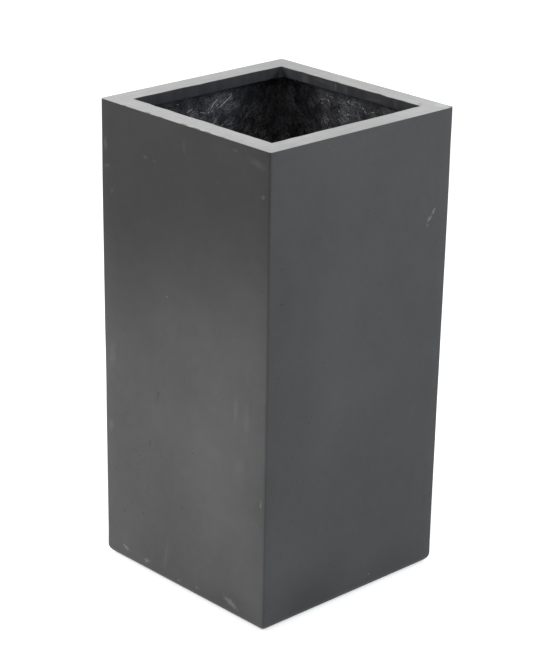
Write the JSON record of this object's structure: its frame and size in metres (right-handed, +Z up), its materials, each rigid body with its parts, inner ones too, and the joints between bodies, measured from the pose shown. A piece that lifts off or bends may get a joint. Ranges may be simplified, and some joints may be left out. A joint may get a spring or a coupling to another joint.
{
  "type": "tall planter",
  "caption": "Tall square fibreglass planter with a flat rim, a smooth lip turned down inside it, a closed base with a drain hole and a lift-out rubber stopper.",
  "frame": {"origin": "centre of the standing face, on the ground", "axes": "+Z up along the planter's height, -Y out of its front wall, +X to the right seen from the front"},
  "size_m": [0.4, 0.4, 0.808],
  "materials": {
    "gelcoat_matte_charcoal": "matte charcoal gelcoat, rubbed and lightly scuffed",
    "rim_matte_charcoal": "sanded charcoal gelcoat, paler and dusty on top",
    "laminate_black": "black resin over chopped glass strands, rough and glossy",
    "putty_black": "black resin putty, trowelled smooth",
    "stopper_rubber": "black moulded rubber"
  },
  "bodies": {
    "planter": {"shell": "gelcoat_matte_charcoal", "rim_collar": "rim_matte_charcoal", "base_panel": "laminate_black", "base_bead": "putty_black", "rim_bond_front": "laminate_black", "rim_bond_right": "laminate_black", "rim_bond_back": "laminate_black", "rim_bond_left": "laminate_black", "corner_tape_front_left": "laminate_black", "corner_tape_front_right": "laminate_black", "corner_tape_back_right": "laminate_black", "corner_tape_back_left": "laminate_black"},
    "stopper": {"drain_stopper": "stopper_rubber"}
  },
  "joints": [
    {"name": "stopper_lift", "type": "slide", "parent": "planter", "child": "stopper", "axis": [0, 0, 1], "range_m": [0, 0.83]}
  ]
}
